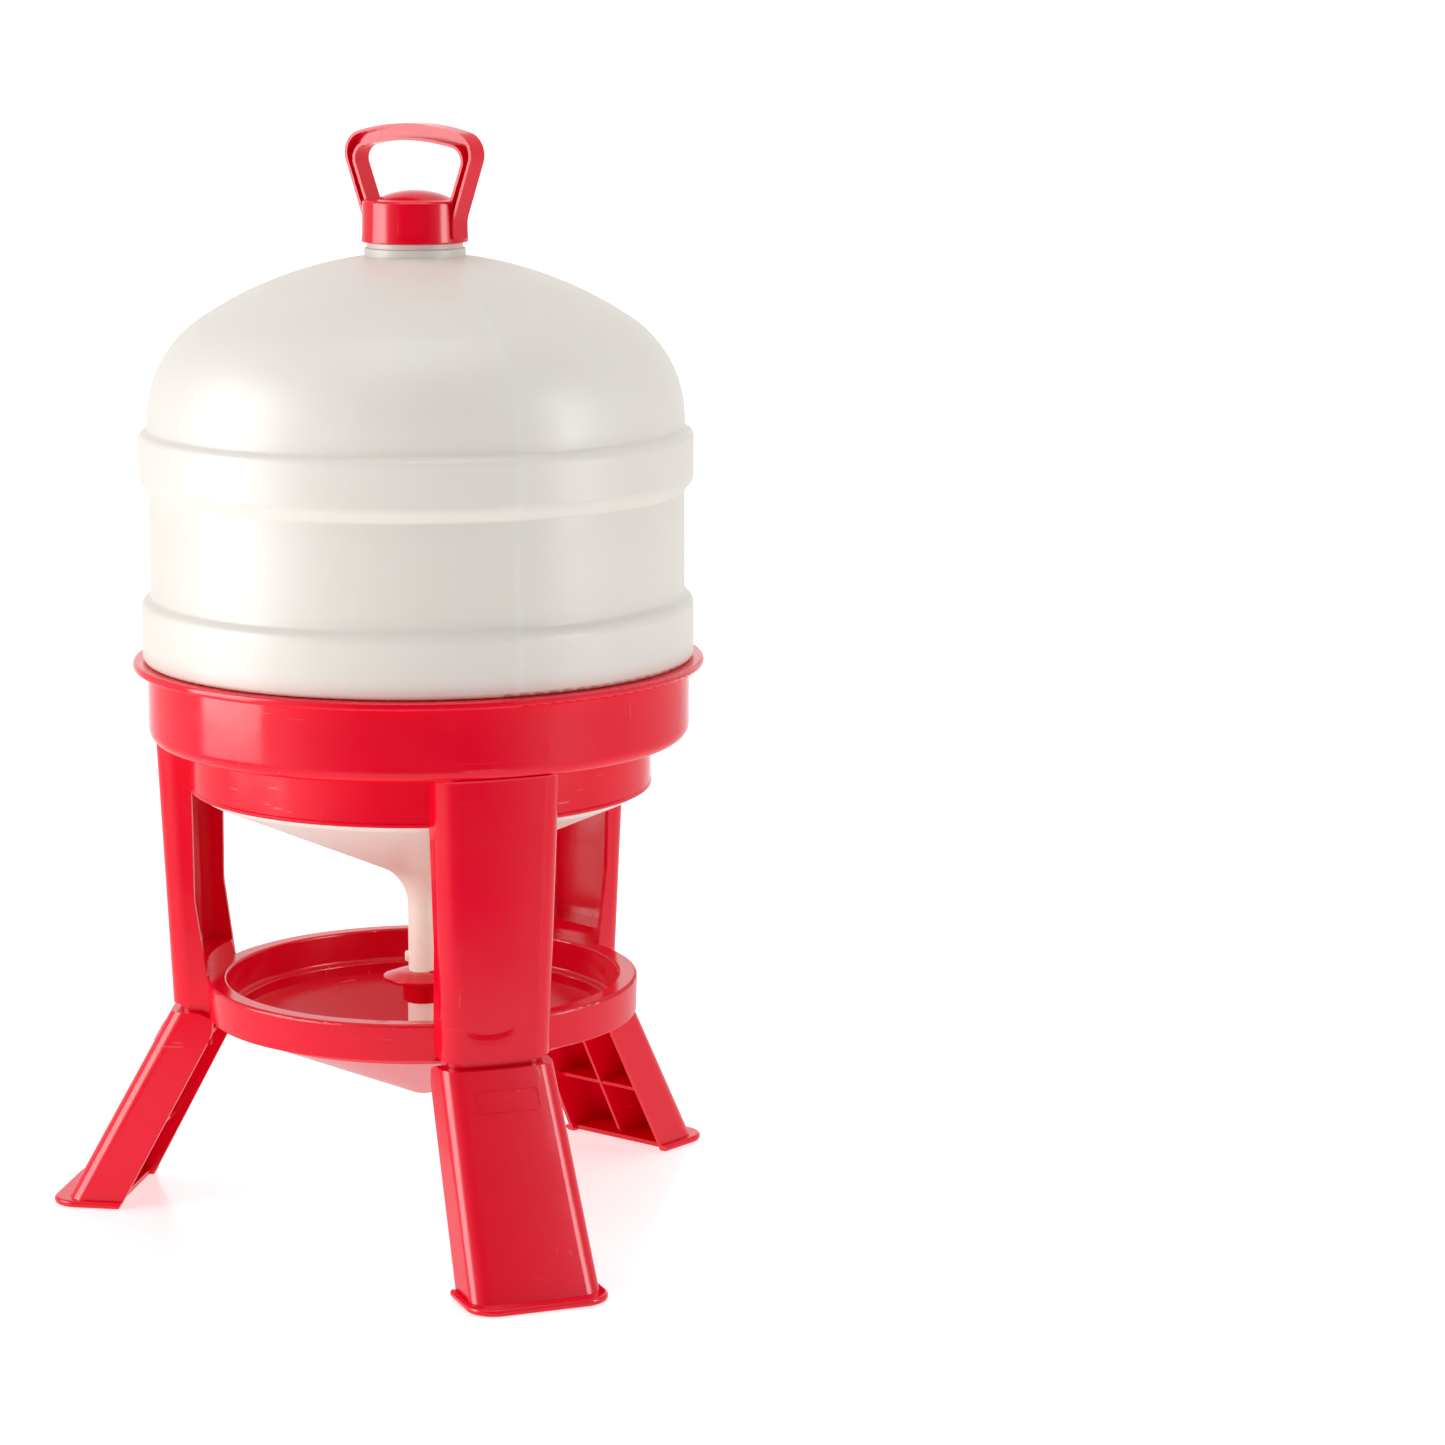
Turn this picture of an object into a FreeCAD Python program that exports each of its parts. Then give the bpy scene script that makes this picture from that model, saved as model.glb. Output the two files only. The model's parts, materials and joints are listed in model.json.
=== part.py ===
"""Poultry waterer on a three-legged stand: reservoir, screw cap, rotary valve, stand and feet.

Units are millimetres. Every shape is built around the reservoir's vertical axis with the
floor at z = 0 and one leg towards -Y, and the finished set is then moved so that the
origin is on the floor at the centre of the footprint's bounding box.
"""
import FreeCAD, Part
import math
import os

V = FreeCAD.Vector

# ---- stand: ring, uprights and drinking tray, one moulding ----
WALL = 3.0
LIP_RADIUS = 188.8
LIP_TOP = 379.0
LIP_THICK = 5.0
RING_RADIUS = 179.1
RING_BOTTOM = 325.0
RING_CORNER = 9.0
LOWER_RING_RADIUS = 153.5
LOWER_RING_BOTTOM = 292.5
BEAD_RADIUS = 154.1
BEAD_HEIGHT = 3.0
BLEND_TOP = 352.0
BLEND_FULL = 338.0

UPRIGHT_RADIUS_TOP = 176.2
UPRIGHT_RADIUS_LOW = 168.4
UPRIGHT_HALF_TOP = 41.6
UPRIGHT_HALF_LOW = 36.4
UPRIGHT_CORNER = 16.0
UPRIGHT_LOW = 141.8
UPRIGHT_EDGE = 147.0
UPRIGHT_EDGE_LOW = 139.5
UPRIGHT_RING_TRIM = 152.0
FLARE_Z = 214.0

TRAY_RADIUS = 144.2
TRAY_RIM = 162.0
TRAY_SKIRT_LOW = 137.5
TRAY_MOUTH = 131.5
TRAY_LEDGE_Z = 140.5
TRAY_LEDGE_IN = 123.5
TRAY_STEP = 7.0
TRAY_SLOPE = 0.436
TRAY_FLOOR_FLAT = 9.0
CHANNEL_FLOOR = 172.0
SKIRT_OVERLAP = 1.8

SPIGOT_INSET = 4.2
SPIGOT_LOW = 114.0
SPIGOT_WALL = 2.6

# ---- feet, splayed sockets under the uprights ----
LEG_ANGLES = (-90.0, 30.0, 150.0)
LEG_NAMES = ("foot_front", "foot_right", "foot_left")
FOOT_TOP = 136.6
FOOT_RADIUS_TOP = 169.8
FOOT_SPLAY = 0.55
FOOT_HALF_TOP = 37.8
FOOT_HALF_LOW = 43.2
FOOT_CORNER = 13.5
FOOT_EDGE_TOP = 137.0
FOOT_EDGE_TOP_Z = 122.0
FOOT_EDGE_SLOPE = 0.535
FOOT_NECK_Z = 132.5
FOOT_SHOULDER = 146.0
FOOT_REACH = 251.5
FLANGE_THICK = 4.6
FLANGE_SIDE = 3.6
FLANGE_CORNER = 19.0
FLANGE_START = 190.0
FLANGE_END_WIDTH = 6.0
SOCKET_DEPTH = 3.0
SOLE_EDGE = 204.0
SOLE_LIFT = 1.5
RIB_SET_BACK = 6.8
RIB_THICK = 2.2
SHELF_Z = 46.0
PANEL_WIDTH = 43.0
PANEL_HEIGHT = 15.5
PANEL_CENTRE_Z = 119.0
PANEL_LINE = 0.9
PANEL_PROUD = 0.5
PANEL_CORNER = 3.5

# ---- reservoir, blow moulded ----
TANK_WALL = 2.6
SHARP_INSIDE = 10.0
SPOUT_RADIUS = 9.6
SPOUT_LOW = 161.5
SPOUT_WALL = 2.2
SPOUT_FILLET = 30.0
FUNNEL_SLOPE = 0.441
FUNNEL_APEX = 224.0
SEAT_RADIUS = 149.3
SEAT_Z = 329.6
BODY_RADIUS = 175.2
WALL_RADIUS = 176.4
BAND_RADIUS = 182.2
BAND2_LOW = 379.3
BAND2_TOP = 422.0
BAND1_LOW = 490.0
BAND1_TOP = 531.3
SHOULDER_Z = 537.1
SHOULDER_RADIUS = 78.1
DOME_RADIUS = 254.2
NECK_RING_RADIUS = 33.2
NECK_RING_TOP = 651.8
NECK_STEP_Z = 648.2
NECK_STEP = 1.6
NECK_RADIUS = 28.0
NECK_TOP = 674.0
NECK_WALL = 2.8

# ---- screw thread between neck and cap ----
PITCH = 6.0
THREAD_TURNS = 1.5
THREAD_START = 656.0
THREAD_DEPTH = 2.6
THREAD_BASE = 2.6
THREAD_CREST = 1.2
THREAD_SINK = 0.4

# ---- cap with its carrying handle, one moulding ----
HANDLE_TURN = -52.0
CAP_LOW = 652.2
CAP_RADIUS_LOW = 35.1
CAP_RADIUS_TOP = 34.2
CAP_BORE = 31.7
CAP_INNER_TOP = 676.6
CAP_EDGE_TOP = 679.6
CAP_DOME_TOP = 685.6
CAP_DOME_RADIUS = 25.0
CAP_DOME_CURVE = 52.0
HANDLE_TOP = 728.6
HANDLE_DEPTH = 15.8
HANDLE_START = 3.0
HANDLE_FOOT_HALF = 36.0
HANDLE_BEND_Z = 667.0
HANDLE_ARM_LEAN = 0.349
HANDLE_CORNER_Z = 719.5
HANDLE_CORNER = 15.0
HANDLE_ARCH = 140.0
HANDLE_ARCH_RISE = 4.9
FINGER_HALF_LOW = 33.0
FINGER_Z_LOW = 680.0
FINGER_HALF_HIGH = 41.0
FINGER_Z_HIGH = 702.0
FINGER_TOP = 717.6
FINGER_DROP = 5.6
FINGER_ARCH = 150.0
FINGER_ARCH_RISE = 3.1
FINGER_CORNER = 9.0
FLANGE_LINE = 1.9
WEB_THICK = 2.8

# ---- rubber seals ----
SEAL_OUTER = 30.2
SEAL_INNER = 23.0
SEAL_LOW = 674.3
SEAL_TOP = 676.3
ORING_WIRE = 1.0
ORING_LEVELS = (156.6, 147.4)

# ---- valve ----
STEM_BORE = 4.6
STEM_PLUG = 7.4
STEM_PLUG_TOP = 184.0
STEM_RADIUS = 8.2
STEM_SEAL_THICK = 1.7
CAGE_RADIUS = 10.2
CAGE_TOP = 142.2
CAGE_LOW = 99.0
CAGE_WALL = 1.8
CAGE_SLOTS = 12
SLOT_WIDTH = 1.8
SLOT_TOP = 126.0
PORT_RADIUS = 2.6
PORT_Z = 152.0
COLLAR_BORE = 8.25
COLLAR_HUB = 14.0
COLLAR_LOW = 142.6
DISC_RADIUS = 26.6
DISC_EDGE_LOW = 157.8
DISC_EDGE_TOP = 160.4
DISC_CENTRE_TOP = 164.4
DISC_HOLE = 10.0
STEM_PORT_ANGLE = 60.0
COLLAR_PORT_ANGLES = (150.0, 330.0)
DISC_HOLE_LOW = 159.3
LUG_Z = 173.4
LUG_RADIUS = 3.6
LUG_REACH = 11.9
LUG_ANGLE = 163.0
GAP = 0.3


# ---- outline helpers ----
def unit(dx, dz):
    length = math.hypot(dx, dz)
    return dx / length, dz / length


def offset_chain(points, distance):
    """Move an open chain of (r, z, corner radius) sideways, to the left of its direction."""
    moved = []
    count = len(points)
    for i, (r, z, corner) in enumerate(points):
        before = points[i - 1] if i > 0 else None
        after = points[i + 1] if i < count - 1 else None
        if before is None or after is None:
            a, b = (before, points[i]) if after is None else (points[i], after)
            dx, dz = unit(b[0] - a[0], b[1] - a[1])
            moved.append((r - dz * distance, z + dx * distance, 0.0))
            continue
        ax, az = unit(r - before[0], z - before[1])
        bx, bz = unit(after[0] - r, after[1] - z)
        cross = ax * bz - az * bx
        half = 1.0 + ax * bx + az * bz
        nr = r + distance * (-(az + bz)) / half
        nz = z + distance * (ax + bx) / half
        new_corner = corner - distance if cross > 0 else corner + distance
        moved.append((nr, nz, max(new_corner, 0.0) if corner > 0 else 0.0))
    return moved


def rounded_wire(points, place):
    """Closed wire through (a, b, corner radius) points, each corner rounded by an arc."""
    count = len(points)
    stops = []
    for i, (a, b, corner) in enumerate(points):
        pa, pb, _ = points[i - 1]
        na, nb, _ = points[(i + 1) % count]
        if corner <= 1e-6:
            stops.append(((a, b), None, (a, b)))
            continue
        ux, uz = unit(pa - a, pb - b)
        wx, wz = unit(na - a, nb - b)
        dot = max(-1.0, min(1.0, ux * wx + uz * wz))
        half_angle = math.acos(dot) / 2.0
        reach = corner / math.tan(half_angle)
        mx, mz = unit(ux + wx, uz + wz)
        to_centre = corner / math.sin(half_angle)
        near = to_centre - corner
        start = (a + ux * reach, b + uz * reach)
        end = (a + wx * reach, b + wz * reach)
        stops.append((start, (a + mx * near, b + mz * near), end))
    edges = []
    for i in range(count):
        start, middle, end = stops[i]
        if middle is not None:
            arc = Part.Arc(place(*start), place(*middle), place(*end))
            edges.append(arc.toShape())
        following = stops[(i + 1) % count][0]
        if math.hypot(end[0] - following[0], end[1] - following[1]) > 1e-4:
            edges.append(Part.makeLine(place(*end), place(*following)))
    return Part.Wire(edges)


def in_section(r, z):
    return V(r, 0, z)


def turned(points):
    """Solid of revolution about the vertical axis from a closed section outline."""
    face = Part.Face(rounded_wire(points, in_section))
    return face.revolve(V(0, 0, 0), V(0, 0, 1), 360)


def ring(inner, outer, low, top):
    body = Part.makeCylinder(outer, top - low, V(0, 0, low))
    if inner > 0:
        body = body.cut(Part.makeCylinder(inner, top - low + 2, V(0, 0, low - 1)))
    return body


def about_axis(shape, degrees):
    copy = shape.copy()
    copy.rotate(V(0, 0, 0), V(0, 0, 1), degrees)
    return copy


def plate(points, thickness, place, direction):
    """Prism from a rounded outline, centred on the outline's plane."""
    face = Part.Face(rounded_wire(points, place))
    face.translate(direction * (-thickness / 2.0))
    return face.extrude(direction * thickness)


def side_view(a, b):
    """A leg is drawn pointing along +X: a is the distance from the axis, b is height."""
    return V(a, 0, b)


def u_section(radius, half, inner, corner, z):
    """Plan outline of a leg at one height: curved outer face, rounded corners, flat back."""
    corner_centre = radius - corner
    side = half - corner
    lean = math.asin(side / corner_centre)
    reach = corner_centre * math.cos(lean)
    joint = V(radius * math.cos(lean), radius * math.sin(lean), z)
    bend = (math.pi / 2.0 + lean) / 2.0
    corner_mid = V(reach + corner * math.cos(bend), side + corner * math.sin(bend), z)
    corner_end = V(reach, half, z)

    def mirror(p):
        return V(p.x, -p.y, p.z)

    edges = [
        Part.makeLine(V(inner, half, z), corner_end),
        Part.Arc(corner_end, corner_mid, joint).toShape(),
        Part.Arc(joint, V(radius, 0, z), mirror(joint)).toShape(),
        Part.Arc(mirror(joint), mirror(corner_mid), mirror(corner_end)).toShape(),
        Part.makeLine(mirror(corner_end), V(inner, -half, z)),
        Part.makeLine(V(inner, -half, z), V(inner, half, z)),
    ]
    return Part.Wire(edges)


def leg_block(stations, inner, corner):
    """Ruled solid through the plan outlines at (radius, half width, z) stations."""
    wires = [u_section(radius, half, inner, corner, z) for radius, half, z in stations]
    return Part.makeLoft(wires, True, True)


# ---- stand ----
def upright_radius(z):
    slope = (UPRIGHT_RADIUS_TOP - UPRIGHT_RADIUS_LOW) / (RING_BOTTOM - UPRIGHT_LOW)
    return UPRIGHT_RADIUS_LOW + slope * (z - UPRIGHT_LOW)


def upright_half(z):
    slope = (UPRIGHT_HALF_TOP - UPRIGHT_HALF_LOW) / (RING_BOTTOM - UPRIGHT_LOW)
    return UPRIGHT_HALF_LOW + slope * (z - UPRIGHT_LOW)


def upright_stations(inset, low, top):
    stations = []
    for z in (low, top):
        stations.append((upright_radius(z) - inset, upright_half(z) - inset, z))
    return stations


def make_ring():
    """Lip, ring wall, step and lower ring, with the tank's seat on the step."""
    inner_wall = RING_RADIUS - WALL
    lower_inner = LOWER_RING_RADIUS - WALL
    bead_top = LOWER_RING_BOTTOM + BEAD_HEIGHT
    lip_low = LIP_TOP - LIP_THICK
    return turned([
        (lower_inner, LOWER_RING_BOTTOM, 0.0),
        (BEAD_RADIUS, LOWER_RING_BOTTOM, 1.2),
        (BEAD_RADIUS, bead_top - 0.6, 0.0),
        (LOWER_RING_RADIUS, bead_top, 0.0),
        (LOWER_RING_RADIUS, RING_BOTTOM, 2.0),
        (RING_RADIUS, RING_BOTTOM, RING_CORNER),
        (RING_RADIUS, lip_low, 2.0),
        (LIP_RADIUS, lip_low - 0.6, 2.2),
        (LIP_RADIUS, LIP_TOP, 2.2),
        (inner_wall, LIP_TOP, 1.5),
        (inner_wall, RING_BOTTOM + WALL, 0.0),
        (lower_inner, RING_BOTTOM + WALL, 0.0),
    ])


def make_tray():
    """Flat rim with an outer skirt, an upright inner wall, a ledge and a conical floor."""
    floor_top = TRAY_LEDGE_Z - TRAY_STEP
    floor_low = floor_top - TRAY_SLOPE * (TRAY_LEDGE_IN - TRAY_FLOOR_FLAT)
    thick = WALL * math.sqrt(1.0 + TRAY_SLOPE ** 2)
    under_edge = TRAY_LEDGE_IN + 3.2
    under_z = floor_top - thick + TRAY_SLOPE * (under_edge - TRAY_LEDGE_IN)
    return turned([
        (0.0, floor_low, 0.0),
        (TRAY_FLOOR_FLAT, floor_low, 6.0),
        (TRAY_LEDGE_IN, floor_top, 0.0),
        (TRAY_LEDGE_IN + 0.4, TRAY_LEDGE_Z, 1.0),
        (TRAY_MOUTH - 2.0, TRAY_LEDGE_Z, 2.0),
        (TRAY_MOUTH, TRAY_RIM, 1.6),
        (TRAY_RADIUS, TRAY_RIM, 2.0),
        (TRAY_RADIUS - 0.5, TRAY_SKIRT_LOW, 0.9),
        (TRAY_RADIUS - 0.5 - WALL, TRAY_SKIRT_LOW, 0.0),
        (TRAY_RADIUS - WALL, TRAY_RIM - WALL, 0.0),
        (TRAY_MOUTH + WALL, TRAY_RIM - WALL, 0.0),
        (TRAY_MOUTH + WALL - 2.0, TRAY_LEDGE_Z - WALL - 0.4, 0.0),
        (under_edge, under_z, 0.0),
        (TRAY_FLOOR_FLAT, floor_low - thick, 0.0),
        (0.0, floor_low - thick, 0.0),
    ])


def inner_trim():
    """What is cut off the side walls: a flared free edge, and the seat of the bottle."""
    above = RING_BOTTOM + 30
    edge = plate([
        (60.0, above, 0.0),
        (60.0, TRAY_RIM - 1.0, 0.0),
        (UPRIGHT_EDGE_LOW, TRAY_RIM - 1.0, 0.0),
        (UPRIGHT_EDGE, FLARE_Z, 40.0),
        (UPRIGHT_EDGE, above, 0.0),
    ], 120.0, side_view, V(0, 1, 0))
    seat = Part.makeCylinder(UPRIGHT_RING_TRIM, 60, V(0, 0, LOWER_RING_BOTTOM + 1.0))
    skirt = Part.makeCylinder(TRAY_RADIUS - SKIRT_OVERLAP, 80, V(0, 0, TRAY_RIM - 1.0 - 80))
    return edge.fuse([seat, skirt])


def channel_floor_space():
    """Hollow under the channel's floor, closed towards the axis by a riser on the tray's rim."""
    inset = WALL + SPIGOT_INSET - 1.0
    corner = UPRIGHT_CORNER - inset
    low = leg_block(upright_stations(inset, UPRIGHT_LOW - 1, TRAY_RIM - WALL), 100.0, corner)
    high = leg_block(upright_stations(inset, TRAY_RIM - WALL, CHANNEL_FLOOR - WALL), 100.0, corner)
    riser = Part.makeCylinder(TRAY_RADIUS + WALL, 60, V(0, 0, TRAY_RIM - WALL))
    return low.fuse(high.cut(riser))


def make_spigot():
    """Thinner hollow end that goes into the foot."""
    outer = leg_block(
        upright_stations(SPIGOT_INSET, SPIGOT_LOW, UPRIGHT_LOW + 2),
        120.0,
        UPRIGHT_CORNER - SPIGOT_INSET,
    )
    inner = leg_block(
        upright_stations(SPIGOT_INSET + SPIGOT_WALL, SPIGOT_LOW - 1, UPRIGHT_LOW + 3),
        100.0,
        UPRIGHT_CORNER - SPIGOT_INSET - SPIGOT_WALL,
    )
    return outer.cut(inner)


def make_upright():
    """U-channel open towards the axis, its floor above the tray's rim, and the spigot under it."""
    outer = leg_block(upright_stations(0.0, UPRIGHT_LOW, RING_BOTTOM), 120.0, UPRIGHT_CORNER)
    corner = UPRIGHT_CORNER - WALL
    hollow = leg_block(upright_stations(WALL, CHANNEL_FLOOR, RING_BOTTOM), 100.0, corner)
    front = leg_block(upright_stations(WALL, TRAY_RIM, CHANNEL_FLOOR), 100.0, corner)
    body = outer.cut(hollow)
    body = body.cut(front.common(Part.makeCylinder(TRAY_RADIUS, 400)))
    body = body.cut(channel_floor_space())
    body = body.fuse(make_spigot()).cut(inner_trim())
    flush = RING_RADIUS + 0.05
    start = upright_radius(RING_BOTTOM)
    middle = (RING_BOTTOM + BLEND_FULL) / 2.0
    blend = leg_block([
        (start, UPRIGHT_HALF_TOP, RING_BOTTOM),
        (start + 0.64 * (flush - start), UPRIGHT_HALF_TOP + 0.5, middle),
        (flush, UPRIGHT_HALF_TOP + 1.2, BLEND_FULL),
        (flush, UPRIGHT_HALF_TOP + 1.2, BLEND_TOP),
    ], 151.0, UPRIGHT_CORNER)
    inside = Part.makeCylinder(RING_RADIUS - WALL / 2.0, 60, V(0, 0, RING_BOTTOM + WALL / 2.0))
    return body.fuse(blend.cut(inside))


def make_stand():
    stand = make_ring().fuse(make_tray())
    upright = make_upright()
    stand = stand.fuse([about_axis(upright, angle) for angle in LEG_ANGLES])
    return stand.removeSplitter()


# ---- feet ----
def foot_radius(z):
    return FOOT_RADIUS_TOP + FOOT_SPLAY * (FOOT_TOP - z)


def foot_half(z):
    slope = (FOOT_HALF_LOW - FOOT_HALF_TOP) / FOOT_TOP
    return FOOT_HALF_LOW - slope * z


def foot_stations(inset, low, top):
    across = inset * math.sqrt(1.0 + FOOT_SPLAY ** 2)
    return [(foot_radius(z) - across, foot_half(z) - inset, z) for z in (low, top)]


def foot_edge(z):
    """Distance of the side walls' free edge from the axis below the foot's neck."""
    return FOOT_EDGE_TOP + FOOT_EDGE_SLOPE * (FOOT_EDGE_TOP_Z - z)


def foot_back_outline():
    """What is cut away on the side towards the axis, below and beside the tray's skirt."""
    beyond = 5.0
    return [
        (50.0, -beyond, 0.0),
        (foot_edge(-beyond), -beyond, 0.0),
        (FOOT_EDGE_TOP, FOOT_EDGE_TOP_Z, 12.0),
        (FOOT_EDGE_TOP - 1.0, FOOT_NECK_Z, 2.0),
        (FOOT_SHOULDER, FOOT_TOP, 0.0),
        (FOOT_SHOULDER, FOOT_TOP + beyond, 0.0),
        (50.0, FOOT_TOP + beyond, 0.0),
    ]


def rib_outline():
    """The middle rib stands a little behind the side walls' edges, up to the spigot's socket."""
    top = SPIGOT_LOW - GAP - WALL
    return [
        (foot_edge(top) + RIB_SET_BACK, top, 0.0),
        (foot_edge(0.0) + RIB_SET_BACK, 0.0, 0.0),
        (300.0, 0.0, 0.0),
        (300.0, top, 0.0),
    ]


def make_panel():
    """Raised rounded outline on the foot's outer face, left blank."""
    lean = math.atan(FOOT_SPLAY)

    def on_face(a, b):
        return V(0, a, b)

    half_w = PANEL_WIDTH / 2.0
    half_h = PANEL_HEIGHT / 2.0

    def frame_block(inset):
        w = half_w - inset
        h = half_h - inset
        corner = PANEL_CORNER - inset
        outline = [(-w, -h, corner), (w, -h, corner), (w, h, corner), (-w, h, corner)]
        return plate(outline, 20.0, on_face, V(1, 0, 0))

    line = frame_block(0.0).cut(frame_block(PANEL_LINE))
    line.rotate(V(0, 0, 0), V(0, 1, 0), -math.degrees(lean))
    line.translate(V(foot_radius(PANEL_CENTRE_Z), 0, PANEL_CENTRE_Z))
    shell = leg_block(foot_stations(-PANEL_PROUD, 60, 136), 120.0, FOOT_CORNER)
    core = leg_block(foot_stations(WALL / 2.0, 60, 136), 110.0, FOOT_CORNER)
    return line.common(shell.cut(core))


def make_foot():
    outer = leg_block(foot_stations(0.0, 0.0, FOOT_TOP), 100.0, FOOT_CORNER)
    hollow = leg_block(foot_stations(WALL, -0.5, FOOT_TOP - SOCKET_DEPTH), 80.0, FOOT_CORNER - WALL)
    fit = SPIGOT_INSET - GAP
    socket = leg_block(upright_stations(fit, SPIGOT_LOW, FOOT_TOP + 1), 80.0, UPRIGHT_CORNER - fit)
    back = plate(foot_back_outline(), 120.0, side_view, V(0, 1, 0))
    outer = outer.cut(back)
    shell = outer.cut(hollow).cut(socket)
    rib = plate(rib_outline(), RIB_THICK, side_view, V(0, 1, 0)).common(outer)
    shelf_edge = foot_edge(SHELF_Z) + RIB_SET_BACK
    shelf = Part.makeBox(150, 120, RIB_THICK, V(shelf_edge, -60, SHELF_Z)).common(outer)
    stop_z = SPIGOT_LOW - GAP - WALL
    stop_edge = foot_edge(stop_z) + RIB_SET_BACK
    stop = Part.makeBox(150, 120, WALL, V(stop_edge, -60, stop_z)).common(outer)
    foot = shell.fuse([rib, shelf, stop, make_panel()])
    foot = foot.fuse(make_flange())
    return foot.removeSplitter()


def make_flange():
    """Flat lip around the foot's sole, ending with the side walls' edges, and a thin sole."""
    half = FOOT_HALF_LOW + FLANGE_SIDE

    def in_plan(a, b):
        return V(a, b, 0)

    outline = [
        (FLANGE_START, -half, 0.0),
        (FOOT_REACH, -half, FLANGE_CORNER),
        (FOOT_REACH, half, FLANGE_CORNER),
        (FLANGE_START, half, 0.0),
    ]
    lip = Part.Face(rounded_wire(outline, in_plan)).extrude(V(0, 0, FLANGE_THICK))
    rims = [e for e in lip.Edges if e.BoundBox.ZLength < 0.01]
    lip = lip.makeFillet(1.9, [e for e in rims if e.CenterOfMass.x > FLANGE_START + 1.0])
    lip = lip.cut(plate(foot_back_outline(), 120.0, side_view, V(0, 1, 0)))
    inner_half = half - FLANGE_END_WIDTH
    depth = SOLE_EDGE - FLANGE_START + 5.0
    mouth = Part.makeBox(depth, 2 * inner_half, 20, V(FLANGE_START - 5.0, -inner_half, -5))
    under_end = foot_radius(0.0) - 2 * WALL
    under = Part.makeBox(
        under_end - FLANGE_START, 2 * inner_half, SOLE_LIFT + 5, V(FLANGE_START, -inner_half, -5)
    )
    return lip.cut(mouth).cut(under)


# ---- reservoir ----
def arc_corner(radius, centre, start, end):
    """Corner point whose rounding is the arc from start to end degrees about a centre."""
    middle = math.radians((start + end) / 2.0)
    reach = radius / math.cos(math.radians((end - start) / 2.0))
    return (centre[0] + reach * math.cos(middle), centre[1] + reach * math.sin(middle), radius)


def dome_corners():
    """Shoulder arc tangent to the wall, then the flatter dome arc up to the neck ring."""
    across = WALL_RADIUS - SHOULDER_RADIUS
    between = DOME_RADIUS - SHOULDER_RADIUS
    rise = math.sqrt(between ** 2 - across ** 2)
    join = math.degrees(math.atan2(rise, across))
    dome_centre = (0.0, SHOULDER_Z - rise)
    shoulder_centre = (across, SHOULDER_Z)
    neck_angle = math.degrees(math.acos(NECK_RING_RADIUS / DOME_RADIUS))
    meet = (NECK_RING_RADIUS, dome_centre[1] + DOME_RADIUS * math.sin(math.radians(neck_angle)))
    return [
        arc_corner(SHOULDER_RADIUS, shoulder_centre, 0.0, join),
        arc_corner(DOME_RADIUS, dome_centre, join, neck_angle),
        (meet[0], meet[1], 0.0),
    ]


def tank_outline():
    """Outer line of the reservoir from the spout's lower end to the neck's mouth."""
    spout_meet = FUNNEL_APEX + FUNNEL_SLOPE * SPOUT_RADIUS
    funnel_top = FUNNEL_APEX + FUNNEL_SLOPE * SEAT_RADIUS
    lower = [
        (SPOUT_RADIUS, SPOUT_LOW, 0.0),
        (SPOUT_RADIUS, spout_meet, SPOUT_FILLET),
        (SEAT_RADIUS, funnel_top, 7.0),
        (SEAT_RADIUS, SEAT_Z, 3.0),
        (BODY_RADIUS, SEAT_Z, 9.0),
        (BODY_RADIUS, BAND2_LOW, 2.5),
        (BAND_RADIUS, BAND2_LOW, 3.0),
        (BAND_RADIUS, BAND2_TOP - 4.5, 6.5),
        (WALL_RADIUS - 0.2, BAND2_TOP, 3.0),
        (WALL_RADIUS - 0.2, BAND1_LOW, 3.0),
        (BAND_RADIUS, BAND1_LOW + 7.5, 8.0),
        (BAND_RADIUS, BAND1_TOP - 3.0, 5.0),
        (WALL_RADIUS, BAND1_TOP, 2.5),
    ]
    upper = [
        (NECK_RING_RADIUS, NECK_STEP_Z, 0.8),
        (NECK_RING_RADIUS - NECK_STEP, NECK_STEP_Z + 0.6, 0.0),
        (NECK_RING_RADIUS - NECK_STEP, NECK_RING_TOP, 0.0),
        (NECK_RADIUS, NECK_RING_TOP, 0.0),
        (NECK_RADIUS, NECK_TOP, 0.0),
    ]
    return lower + dome_corners() + upper


def thread_ridge(radius, direction, start):
    """Helical ridge standing out (+1) or in (-1) from a cylinder of the given radius."""
    helix = Part.makeHelix(PITCH, PITCH * THREAD_TURNS, radius)
    helix.translate(V(0, 0, start))
    root = radius - direction * THREAD_SINK
    crest = radius + direction * THREAD_DEPTH
    half_base = THREAD_BASE / 2.0
    half_crest = THREAD_CREST / 2.0
    section = Part.makePolygon([
        V(root, 0, start - half_base),
        V(crest, 0, start - half_crest),
        V(crest, 0, start + half_crest),
        V(root, 0, start + half_base),
        V(root, 0, start - half_base),
    ])
    return Part.Wire(helix.Edges).makePipeShell([section], True, True)


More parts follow.
